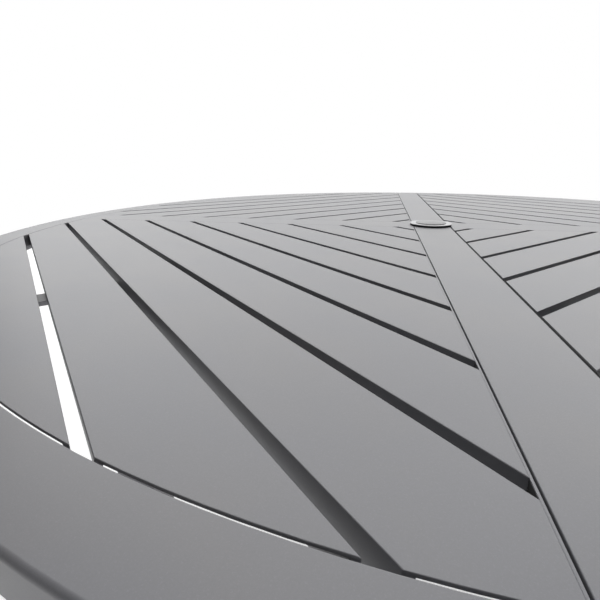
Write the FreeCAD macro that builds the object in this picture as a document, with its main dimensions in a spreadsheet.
import FreeCAD, Part
import os
import re

import Sketcher

# Round slatted umbrella table, 48 inches across. Millimetres, +Z up, floor at z = 0, umbrella hole on
# the Z axis, main bar along Y. "near" is -Y, "left" is -X.
# Pieces of the top are drawn with the top plane at z = 0 and placed at the table's height.

# The round top: rim, bar, spines and slats
SIZES = {
    "table_height": 737.0,
    "rim_inner_radius": 575.0,
    "rim_width": 34.6,
    "rim_depth": 20.0,
    "rim_wall": 2.2,
    "rim_chamfer": 1.2,
    "first_slot": 55.9,
    "slot_width": 6.2,
    "outermost_slat_depth": 60.0,
    "slat_depth": 16.0,
    "slat_wall": 1.6,
    "slat_flange": 2.0,
    "rim_gap": 1.2,
    "bar_width": 51.4,
    "bar_depth": 20.0,
    "bar_wall": 2.0,
    "bar_gap": 1.1,
    "strip_thickness": 0.9,
    "strap_width": 25.0,
    "weld_gap": 0.2,
    # The umbrella hole: ring, gasket and cap
    "pole_bore_radius": 19.4,
    "barrel_radius": 22.2,
    "barrel_length": 34.0,
    "barrel_clearance": 0.3,
    "flange_radius": 30.5,
    "flange_thickness": 1.2,
    "gasket_thickness": 2.0,
    "gasket_inset": 0.4,
    "cap_radius": 22.0,
    "cap_thickness": 1.6,
    "cap_socket_depth": 12.0,
    "cap_socket_wall": 1.0,
    "cap_clearance": 0.3,
    "cap_plug_length": 8.0,
    # The base: legs, apron rails and bolts
    "leg_spacing": 640.0,
    "leg_size": 40.0,
    "leg_wall": 1.8,
    "leg_corner_radius": 3.0,
    "leg_top_plate": 3.0,
    "rail_depth": 45.0,
    "rail_width": 20.0,
    "rail_wall": 1.6,
    "rail_plate": 4.0,
    "rail_inset": 5.0,
    "bolt_radius": 4.0,
    "bolt_head_radius": 7.5,
    "bolt_head_height": 5.3,
    "bolt_clearance": 0.2,
    "bolt_grip": 10.0,
    # The feet: inserts and levelling glides
    "insert_flange": 2.5,
    "insert_plug": 20.0,
    "insert_clearance": 0.15,
    "glide_radius": 16.0,
    "glide_height": 8.0,
    "glide_reach": 8.3,
    "stem_radius": 4.0,
    "stem_length": 34.0,
    "stem_clearance": 0.08,
    # Cutting shapes run past what they cut by this much
    "cut_margin": 2.0,
}

# Slats in each quarter of the top. Their width follows from it and from the rim: 50.8 for nine
SLATS = 9

# Formulas that several pieces share
TABLE_RADIUS = "(rim_inner_radius + rim_width)"
FIELD_X = "(bar_width / 2 + bar_gap + strip_thickness)"
FIELD_Y = "(bar_width / 2)"
WELD_RADIUS = "(rim_inner_radius - weld_gap)"
PITCH = "((rim_inner_radius - outermost_slat_depth - first_slot - slot_width / 2) / %d)" % (SLATS - 1)
SLAT_WIDTH = "(%s - slot_width)" % PITCH
FLANGE_TOP = "(gasket_thickness + flange_thickness)"
LEG_TOP = "(table_height - bar_depth)"
LEG_BOTTOM = "(glide_height + glide_reach + insert_flange)"
RAIL_LENGTH = "(leg_spacing - leg_size)"
RAIL_OFFSET = "(leg_size / 2 - rail_inset - rail_width / 2)"
RAIL_LINE = "(leg_spacing / 2 + leg_size / 2 - rail_inset - rail_width / 2)"
BOLT_HOLE = "(bolt_radius + bolt_clearance)"

X_AXIS = FreeCAD.Vector(1, 0, 0)
Y_AXIS = FreeCAD.Vector(0, 1, 0)
Z_AXIS = FreeCAD.Vector(0, 0, 1)

doc = FreeCAD.newDocument("umbrella_table")
nodes = []


def fill_sheet():
    """Write every driving size into the sheet, one row each: its name, then its value."""
    sheet = doc.addObject("Spreadsheet::Sheet", "Sizes")
    for row, (name, value) in enumerate(SIZES.items(), 1):
        sheet.set("A%d" % row, name)
        sheet.set("B%d" % row, str(value))
        sheet.setAlias("B%d" % row, name)
    doc.recompute()


def cells(formula):
    """The formula with the name of each size turned into its cell in the sheet."""
    return re.sub(r"[a-z_]+", lambda word: cell(word.group()), formula)


def cell(word):
    return "Sizes." + word if word in SIZES else word


def bind(item, **formulas):
    """Bind properties of an object to formulas of sizes."""
    for name, formula in formulas.items():
        item.setExpression(name, cells(formula))


def place(item, x="0", y="0", z="0", rotation=None):
    """Put an object at a place given by formulas, turned if a rotation is given."""
    if rotation:
        item.Placement = FreeCAD.Placement(FreeCAD.Vector(), rotation)
    for axis, formula in (("x", x), ("y", y), ("z", z)):
        item.setExpression("Placement.Base." + axis, cells(formula))


def keep(item, label):
    """Name an object as a finished piece."""
    item.Label = label
    nodes.append(item)
    return item


def new_sketch(body, role, offset="0"):
    """A sketch on one of the body's own origin planes, moved off it along its normal."""
    sketch = body.newObject("Sketcher::SketchObject", body.Name + "_sketch")
    plane = next(item for item in body.Origin.OriginFeatures if item.Role == role)
    sketch.AttachmentSupport = [(plane, "")]
    sketch.MapMode = "FlatFace"
    sketch.setExpression("AttachmentOffset.Base.z", cells(offset))
    return sketch


def set_distance(sketch, kind, line, formula):
    """Hold a point at a signed distance from the sketch's origin along one axis."""
    if formula == "0":
        axis = -2 if kind == "DistanceX" else -1
        sketch.addConstraint(Sketcher.Constraint("PointOnObject", line, 1, axis))
        return
    index = sketch.addConstraint(Sketcher.Constraint(kind, -1, 1, line, 1, float(line + 1)))
    sketch.setExpression("Constraints[%d]" % index, cells(formula))


def draw_outline(sketch, corners):
    """A closed outline of straight lines through corners given as pairs of formulas."""
    first = sketch.GeometryCount
    count = len(corners)
    starts = [FreeCAD.Vector(step + 1, step * step, 0) for step in range(count)]
    for step in range(count):
        sketch.addGeometry(Part.LineSegment(starts[step], starts[(step + 1) % count]), False)
    for step, (x, y) in enumerate(corners):
        following = first + (step + 1) % count
        sketch.addConstraint(Sketcher.Constraint("Coincident", first + step, 2, following, 1))
        set_distance(sketch, "DistanceX", first + step, x)
        set_distance(sketch, "DistanceY", first + step, y)


def draw_rectangle(sketch, left, bottom, right, top):
    draw_outline(sketch, [(left, bottom), (right, bottom), (right, top), (left, top)])


def draw_hexagon(sketch, radius):
    """A hexagon about the sketch's origin, given as the radius to its corners."""
    half = "%s / 2" % radius
    rise = "%s * sqrt(0.75)" % radius
    draw_outline(sketch, [(radius, "0"), (half, rise), ("-" + half, rise),
                          ("-" + radius, "0"), ("-" + half, "-" + rise), (half, "-" + rise)])


def draw_circle(sketch, x, y, radius):
    """A circle whose centre and radius are given as formulas."""
    index = sketch.addGeometry(Part.Circle(FreeCAD.Vector(1, 1, 0), Z_AXIS, 1), False)
    for kind, formula, axis in (("DistanceX", x, -2), ("DistanceY", y, -1)):
        if formula == "0":
            sketch.addConstraint(Sketcher.Constraint("PointOnObject", index, 3, axis))
        else:
            row = sketch.addConstraint(Sketcher.Constraint(kind, -1, 1, index, 3, 1.0))
            sketch.setExpression("Constraints[%d]" % row, cells(formula))
    row = sketch.addConstraint(Sketcher.Constraint("Radius", index, 1.0))
    sketch.setExpression("Constraints[%d]" % row, cells(radius))


def new_body(name):
    return doc.addObject("PartDesign::Body", name)


def extrude(body, kind, sketch, length, side="One side"):
    """A pad or pocket of the given length; without a length a pocket goes right through."""
    feature = body.newObject("PartDesign::" + kind, body.Name + "_" + kind.lower())
    feature.Profile = sketch
    feature.SideType = side
    if length:
        bind(feature, Length=length)
    else:
        feature.Type = "ThroughAll"
    body.Tip = feature
    return feature


def revolve(body, corners):
    """A turned piece: an outline in the XZ plane, spun about the Z axis."""
    sketch = new_sketch(body, "XZ_Plane")
    draw_outline(sketch, corners)
    feature = body.newObject("PartDesign::Revolution", body.Name + "_revolution")
    feature.Profile = sketch
    feature.ReferenceAxis = (sketch, ["V_Axis"])
    feature.Angle = 360
    body.Tip = feature
    return feature


def round_edges(body, base, radius, wanted):
    """Fillet the edges of a feature that pass a test."""
    doc.recompute()
    names = ["Edge%d" % (k + 1) for k, edge in enumerate(base.Shape.Edges) if wanted(edge)]
    fillet = body.newObject("PartDesign::Fillet", body.Name + "_fillet")
    fillet.Base = (base, names)
    bind(fillet, Radius=radius)
    body.Tip = fillet
    return fillet


def is_upright(edge):
    return abs(edge.tangentAt(edge.FirstParameter).z) > 0.99


def new_box(name, length, width, height):
    box = doc.addObject("Part::Box", name)
    bind(box, Length=length, Width=width, Height=height)
    return box


def new_cylinder(name, radius, height, z):
    cylinder = doc.addObject("Part::Cylinder", name)
    bind(cylinder, Radius=radius, Height=height)
    place(cylinder, z=z)
    return cylinder


def common(name, first, second):
    result = doc.addObject("Part::Common", name)
    result.Base = first
    result.Tool = second
    return result


def cut(name, base, tool):
    result = doc.addObject("Part::Cut", name)
    result.Base = base
    result.Tool = tool
    return result


def group(name, members):
    compound = doc.addObject("Part::Compound", name)
    compound.Links = members
    return compound


def mirror(source, name, normal):
    copy = doc.addObject("Part::Mirroring", name)
    copy.Source = source
    copy.Normal = normal
    return copy


def four_corners(master, name):
    """The far right piece and its mirror images, by corner."""
    far_left = mirror(master, name + "_far_left", X_AXIS)
    near_right = mirror(master, name + "_near_right", Y_AXIS)
    near_left = mirror(near_right, name + "_near_left", X_AXIS)
    return {"near_left": near_left, "near_right": near_right, "far_left": far_left, "far_right": master}


# The rim is a channel, open below, rolled to a ring.
def make_rim():
    body = new_body("rim")
    inner = "rim_inner_radius"
    revolve(body, [
        (inner, "0"),
        (TABLE_RADIUS + " - rim_chamfer", "0"),
        (TABLE_RADIUS, "-rim_chamfer"),
        (TABLE_RADIUS, "-rim_depth"),
        (TABLE_RADIUS + " - rim_wall", "-rim_depth"),
        (TABLE_RADIUS + " - rim_wall", "-rim_wall"),
        (inner + " + rim_wall", "-rim_wall"),
        (inner + " + rim_wall", "-rim_depth"),
        (inner, "-rim_depth"),
    ])
    place(body, z="table_height")
    keep(body, "rim")


# What lies inside the rim's inner wall: the tubes' and strips' ends are coped to it.
def make_rim_space():
    height = "rim_depth + 2 * cut_margin"
    return new_cylinder("rim_space", WELD_RADIUS, height, "table_height - rim_depth - cut_margin")


# The main bar is a rectangular tube from rim to rim, bored for the umbrella ring.
def make_bar(rim_space):
    body = new_body("bar_tube")
    section = new_sketch(body, "XZ_Plane")
    draw_rectangle(section, "-bar_width / 2", "-bar_depth", "bar_width / 2", "0")
    draw_rectangle(section, "bar_wall - bar_width / 2", "bar_wall - bar_depth",
                   "bar_width / 2 - bar_wall", "-bar_wall")
    extrude(body, "Pad", section, "2 * rim_inner_radius", "Symmetric")
    hole = new_sketch(body, "XY_Plane")
    draw_circle(hole, "0", "0", "barrel_radius + barrel_clearance")
    extrude(body, "Pocket", hole, None, "Symmetric")
    place(body, z="table_height")
    keep(common("umbrella_bar", body, rim_space), "umbrella_bar")


# The spines are the same tube, from the edge strips out to the rim.
def make_spines(rim_space):
    body = new_body("spine_tube")
    section = new_sketch(body, "YZ_Plane", FIELD_X)
    draw_rectangle(section, "-bar_width / 2", "-bar_depth", "bar_width / 2", "0")
    draw_rectangle(section, "bar_wall - bar_width / 2", "bar_wall - bar_depth",
                   "bar_width / 2 - bar_wall", "-bar_wall")
    extrude(body, "Pad", section, "rim_inner_radius - " + FIELD_X)
    place(body, z="table_height")
    right = keep(common("spine_right", body, rim_space), "spine_right")
    keep(mirror(right, "spine_left", X_AXIS), "spine_left")


# A thin strip closes the slats' ends along each side of the bar. The right one stays under their top wall.
def make_edge_strips(rim_space):
    strips = []
    for name, x, drop in (("left", "-" + FIELD_X, "0"), ("right", "bar_width / 2 + bar_gap", "slat_wall")):
        box = new_box("strip_blank_" + name, "strip_thickness", "2 * rim_inner_radius",
                      "slat_depth - " + drop)
        place(box, x=x, y="-rim_inner_radius", z="table_height - slat_depth")
        strips.append(common("edge_strip_" + name, box, rim_space))
    keep(group("edge_strips", strips), "edge_strips")


# One quarter of the top, between bar, spine and rim. Flanges reach the rim, the top wall stops short.
def make_slat_field():
    lower = new_cylinder("field_below", WELD_RADIUS, "slat_depth - slat_wall + cut_margin",
                         "table_height - slat_depth - cut_margin")
    upper = new_cylinder("field_above", "rim_inner_radius - rim_gap", "slat_wall + cut_margin",
                         "table_height - slat_wall")
    disc = doc.addObject("Part::Fuse", "field_disc")
    disc.Base = lower
    disc.Tool = upper
    quarter = new_box("field_quarter", TABLE_RADIUS, TABLE_RADIUS, "slat_depth + 2 * cut_margin")
    place(quarter, x=FIELD_X, y=FIELD_Y, z="table_height - slat_depth - cut_margin")
    return common("slat_field", disc, quarter)


def diagonal_box(name, start, width, span, height, z):
    """A box across the far right diagonal: it starts that far out and spans both ways."""
    box = new_box(name, width, span, height)
    turn = FreeCAD.Rotation(Z_AXIS, 45)
    place(box, "(%s + %s / 2) * sqrt(0.5)" % (start, span), "(%s - %s / 2) * sqrt(0.5)" % (start, span),
          z, turn)
    return box


def make_channel(name, start, width, flange_inside, flange_outside, field):
    """An inverted channel across the diagonal, cut to the field."""
    span = "(2 * rim_inner_radius)"
    outer = diagonal_box(name + "_blank", start, width, span, "slat_depth", "table_height - slat_depth")
    hollow_start = "(%s + %s)" % (start, flange_inside)
    hollow_width = "(%s - %s - %s)" % (width, flange_inside, flange_outside)
    hollow = diagonal_box(name + "_hollow", hollow_start, hollow_width, span,
                          "slat_depth - slat_wall + cut_margin", "table_height - slat_depth - cut_margin")
    return common(name, cut(name + "_channel", outer, hollow), field)


# Nested slats at 45 degrees. The outermost is a segment that follows the rim.
def make_slats(field):
    for number in range(1, SLATS + 1):
        start = "(first_slot + slot_width / 2 + %d * %s)" % (number - 1, PITCH)
        if number < SLATS:
            slat = make_channel("slat_%d" % number, start, SLAT_WIDTH, "slat_flange", "slat_flange", field)
        else:
            slat = make_channel("slat_%d" % number, start, "rim_inner_radius", "slat_flange", "0", field)
        for corner, piece in four_corners(slat, slat.Name).items():
            keep(piece, "slat_%s_%d" % (corner, number))


# The small triangles beside the hole, inside the first slot.
def make_centre_gussets(field):
    width = "(first_slot - slot_width / 2)"
    gusset = make_channel("gusset", "0", width, "0", "slat_flange", field)
    keep(group("centre_gussets", list(four_corners(gusset, "gusset").values())), "centre_gussets")


# A flat bar under the slats of each quadrant, along its diagonal, from the centre to the rim. It fills
# the height between the slats and the legs' top plates.
def make_radial_straps(rim_space):
    blank = diagonal_box("strap_blank", "0", "rim_inner_radius", "strap_width", "bar_depth - slat_depth",
                         "table_height - bar_depth")
    corner = new_box("strap_corner", TABLE_RADIUS, TABLE_RADIUS, "rim_depth + cut_margin")
    place(corner, x=FIELD_X, y=FIELD_Y, z="table_height - rim_depth - cut_margin")
    strap = common("strap", common("strap_mitred", blank, corner), rim_space)
    keep(group("radial_straps", list(four_corners(strap, "strap").values())), "radial_straps")


# The ring has a flange over the bar and a barrel through it, with a wider socket for the cap on top.
def make_umbrella_ring():
    body = new_body("umbrella_ring")
    socket_radius = "barrel_radius - cap_socket_wall"
    socket_floor = FLANGE_TOP + " - cap_socket_depth"
    revolve(body, [
        ("pole_bore_radius", "-barrel_length"),
        ("barrel_radius", "-barrel_length"),
        ("barrel_radius", "gasket_thickness"),
        ("flange_radius", "gasket_thickness"),
        ("flange_radius", FLANGE_TOP),
        (socket_radius, FLANGE_TOP),
        (socket_radius, socket_floor),
        ("pole_bore_radius", socket_floor),
    ])
    place(body, z="table_height")
    keep(body, "umbrella_ring")


# The dark gasket lies between the bar and the flange.
def make_ring_gasket():
    body = new_body("ring_gasket")
    revolve(body, [
        ("barrel_radius + barrel_clearance", "0"),
        ("flange_radius - gasket_inset", "0"),
        ("flange_radius - gasket_inset", "gasket_thickness"),
        ("barrel_radius + barrel_clearance", "gasket_thickness"),
    ])
    place(body, z="table_height")
    keep(body, "ring_gasket")


# The cap is a flat disc with a short plug that drops into the ring's socket.
def make_umbrella_cap():
    body = new_body("umbrella_cap")
    plug_radius = "barrel_radius - cap_socket_wall - cap_clearance"
    cap_top = FLANGE_TOP + " + cap_thickness"
    revolve(body, [
        ("0", FLANGE_TOP + " - cap_plug_length"),
        (plug_radius, FLANGE_TOP + " - cap_plug_length"),
        (plug_radius, FLANGE_TOP),
        ("cap_radius", FLANGE_TOP),
        ("cap_radius", cap_top),
        ("0", cap_top),
    ])
    place(body, z="table_height")
    keep(body, "umbrella_cap")


# Each leg is a square tube with a closed top, bored through for the bolt that holds a rail.
def make_legs():
    body = new_body("leg")
    half = "leg_size / 2"
    length = LEG_TOP + " - " + LEG_BOTTOM
    outside = new_sketch(body, "XY_Plane", "-(%s)" % length)
    draw_rectangle(outside, "-" + half, "-" + half, half, half)
    pad = extrude(body, "Pad", outside, length)
    round_edges(body, pad, "leg_corner_radius", is_upright)
    inside = new_sketch(body, "XY_Plane", "-leg_top_plate")
    draw_rectangle(inside, "leg_wall - " + half, "leg_wall - " + half, half + " - leg_wall",
                   half + " - leg_wall")
    extrude(body, "Pocket", inside, None)
    hole = new_sketch(body, "YZ_Plane")
    draw_circle(hole, RAIL_OFFSET, "-rail_depth / 2", BOLT_HOLE)
    extrude(body, "Pocket", hole, None, "Symmetric")
    place(body, "leg_spacing / 2", "leg_spacing / 2", LEG_TOP)
    for corner, leg in four_corners(body, "leg").items():
        keep(leg, "leg_" + corner)


def make_rail(name, role):
    """A tube between two legs with a plate welded into each end."""
    body = new_body(name)
    outside = new_sketch(body, role)
    draw_rectangle(outside, "-rail_width / 2", "-rail_depth", "rail_width / 2", "0")
    extrude(body, "Pad", outside, RAIL_LENGTH, "Symmetric")
    inside = new_sketch(body, role)
    draw_rectangle(inside, "rail_wall - rail_width / 2", "rail_wall - rail_depth",
                   "rail_width / 2 - rail_wall", "-rail_wall")
    extrude(body, "Pocket", inside, RAIL_LENGTH + " - 2 * rail_plate", "Symmetric")
    return body


# The apron lies under the bar and the spines. Its left and right rails are welded to the legs, which
# makes two side frames, and its near and far rails are bolted between them.
def make_apron():
    far = make_rail("rail_far", "YZ_Plane")
    hole = new_sketch(far, "YZ_Plane")
    draw_circle(hole, "0", "-rail_depth / 2", BOLT_HOLE)
    extrude(far, "Pocket", hole, None, "Symmetric")
    place(far, y=RAIL_LINE, z=LEG_TOP)
    right = make_rail("rail_right", "XZ_Plane")
    place(right, x=RAIL_LINE, z=LEG_TOP)
    keep(far, "apron_rail_far")
    keep(mirror(far, "rail_near", Y_AXIS), "apron_rail_near")
    keep(right, "apron_rail_right")
    keep(mirror(right, "rail_left", X_AXIS), "apron_rail_left")


# One bolt runs through each leg into the end plate of the near or far rail.
def make_frame_bolts():
    body = new_body("bolt")
    head = new_sketch(body, "XY_Plane")
    draw_hexagon(head, "bolt_head_radius")
    extrude(body, "Pad", head, "bolt_head_height")
    shank = new_sketch(body, "XY_Plane", "-(leg_size + bolt_grip)")
    draw_circle(shank, "0", "0", "bolt_radius")
    extrude(body, "Pad", shank, "leg_size + bolt_grip")
    place(body, "(leg_spacing + leg_size) / 2", RAIL_LINE, LEG_TOP + " - rail_depth / 2",
          FreeCAD.Rotation(Z_AXIS, X_AXIS))
    keep(group("frame_bolts", list(four_corners(body, "bolt").values())), "frame_bolts")


# A plug closes each leg's end and takes the stem of the levelling glide.
def make_foot_inserts():
    body = new_body("foot_insert")
    half = "leg_size / 2"
    plate = new_sketch(body, "XY_Plane")
    draw_rectangle(plate, "-" + half, "-" + half, half, half)
    extrude(body, "Pad", plate, "insert_flange")
    plug = new_sketch(body, "XY_Plane", "insert_flange")
    reach = "(leg_size / 2 - leg_wall - insert_clearance)"
    draw_rectangle(plug, "-" + reach, "-" + reach, reach, reach)
    extrude(body, "Pad", plug, "insert_plug")
    bore = new_sketch(body, "XY_Plane")
    draw_circle(bore, "0", "0", "stem_radius + stem_clearance")
    extrude(body, "Pocket", bore, None, "Symmetric")
    place(body, "leg_spacing / 2", "leg_spacing / 2", "glide_height + glide_reach")
    keep(group("foot_inserts", list(four_corners(body, "foot_insert").values())), "foot_inserts")


# Each glide is a six-sided pad on a screwed stem, at rest out of the leg by its whole reach.
def make_levelling_glides():
    body = new_body("levelling_glide")
    base = new_sketch(body, "XY_Plane")
    draw_hexagon(base, "glide_radius")
    extrude(body, "Pad", base, "glide_height")
    stem = new_sketch(body, "XY_Plane", "glide_height")
    draw_circle(stem, "0", "0", "stem_radius")
    extrude(body, "Pad", stem, "stem_length")
    place(body, "leg_spacing / 2", "leg_spacing / 2")
    for corner, glide in four_corners(body, "levelling_glide").items():
        keep(glide, "levelling_glide_" + corner)


def check_document():
    """Stop if any object failed or any piece is empty or not valid."""
    for item in doc.Objects:
        if "Invalid" in item.State or "Error" in item.State:
            raise RuntimeError("%s failed: %s" % (item.Label, item.State))
    for item in nodes:
        if item.Shape.isNull() or not item.Shape.isValid() or not item.Shape.Solids:
            raise RuntimeError("%s has no sound shape" % item.Label)


def export_nodes():
    os.makedirs("parts", exist_ok=True)
    for item in nodes:
        item.Shape.exportStep("parts/%s.step" % item.Label)
        print("%-26s %2d solids %12.1f mm3" % (item.Label, len(item.Shape.Solids), item.Shape.Volume))
    print("%d nodes" % len(nodes))


fill_sheet()
rim_space = make_rim_space()
slat_field = make_slat_field()
make_rim()
make_bar(rim_space)
make_spines(rim_space)
make_edge_strips(rim_space)
make_slats(slat_field)
make_centre_gussets(slat_field)
make_radial_straps(rim_space)
make_umbrella_ring()
make_ring_gasket()
make_umbrella_cap()
make_apron()
make_legs()
make_frame_bolts()
make_foot_inserts()
make_levelling_glides()
doc.recompute()
check_document()
export_nodes()
